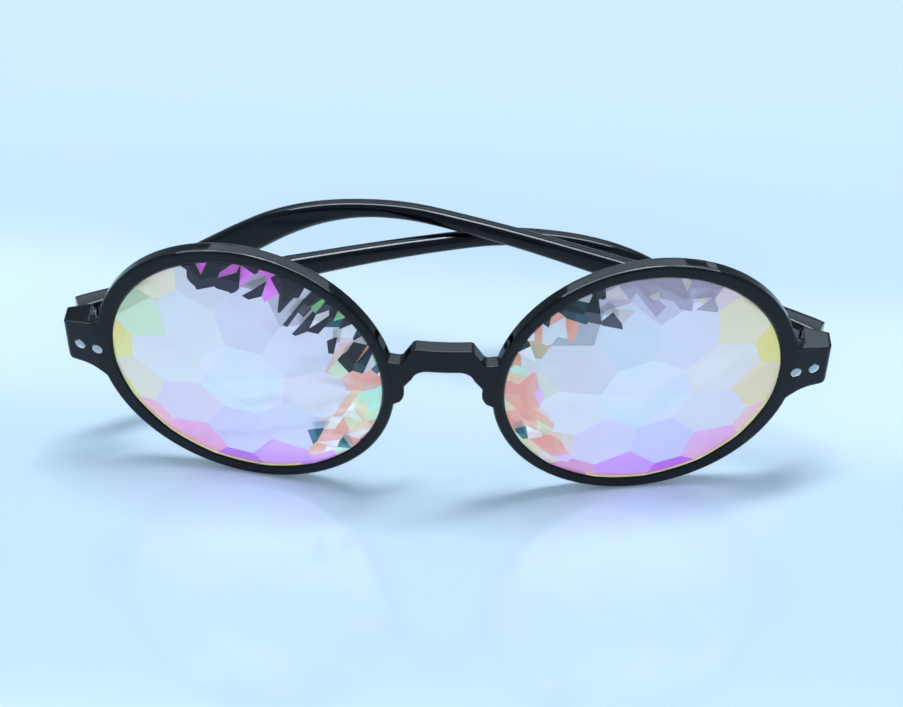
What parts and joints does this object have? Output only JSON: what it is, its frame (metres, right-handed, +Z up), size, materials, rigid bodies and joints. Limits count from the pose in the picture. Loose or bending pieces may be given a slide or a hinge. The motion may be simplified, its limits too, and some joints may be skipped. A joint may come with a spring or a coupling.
{
  "type": "prism lens glasses",
  "caption": "Round-rimmed glasses with faceted prism lenses, a stepped bridge with moulded nose pads, riveted hinges and folding temples crossed behind the front.",
  "frame": {"origin": "on the ground under the middle of the whole, as it rests on both rims and the tip of the left temple", "axes": "+X to the wearer's left side seen from the front as the right of the picture, +Y from the lenses back to the temples, +Z up"},
  "size_m": [0.139, 0.0664, 0.0551],
  "materials": {
    "black_plastic": "polished black acetate",
    "prism_lens": "clear polished acrylic cut in flat facets",
    "hinge_metal": "satin nickel silver",
    "rivet_metal": "polished"
  },
  "bodies": {
    "front": {"front_frame": "black_plastic", "lens_left": "prism_lens", "lens_right": "prism_lens", "front_leaf_left": "hinge_metal", "front_leaf_right": "hinge_metal", "hinge_screw_left": "hinge_metal", "hinge_screw_right": "hinge_metal", "front_rivet_left_inner": "rivet_metal", "front_rivet_left_outer": "rivet_metal", "front_rivet_right_inner": "rivet_metal", "front_rivet_right_outer": "rivet_metal"},
    "temple_left": {"temple_left": "black_plastic", "temple_leaf_left": "hinge_metal", "temple_rivet_left_front": "rivet_metal", "temple_rivet_left_back": "rivet_metal"},
    "temple_right": {"temple_right": "black_plastic", "temple_leaf_right": "hinge_metal", "temple_rivet_right_front": "rivet_metal", "temple_rivet_right_back": "rivet_metal"}
  },
  "joints": [
    {"name": "temple_right_hinge", "type": "hinge", "parent": "front", "child": "temple_right", "pos_m": [0.06604, -0.01286, 0.02811], "axis": [-0.0323, 0.1736, -0.9843], "range_deg": [-5, 66]},
    {"name": "temple_left_hinge", "type": "hinge", "parent": "front", "child": "temple_left", "pos_m": [-0.06604, -0.01286, 0.02811], "axis": [0.0323, -0.1736, 0.9843], "range_deg": [-4.4, 58.08]}
  ],
  "couplings": [
    {"joint": "temple_left_hinge", "follows": "temple_right_hinge", "ratio": 0.88}
  ]
}
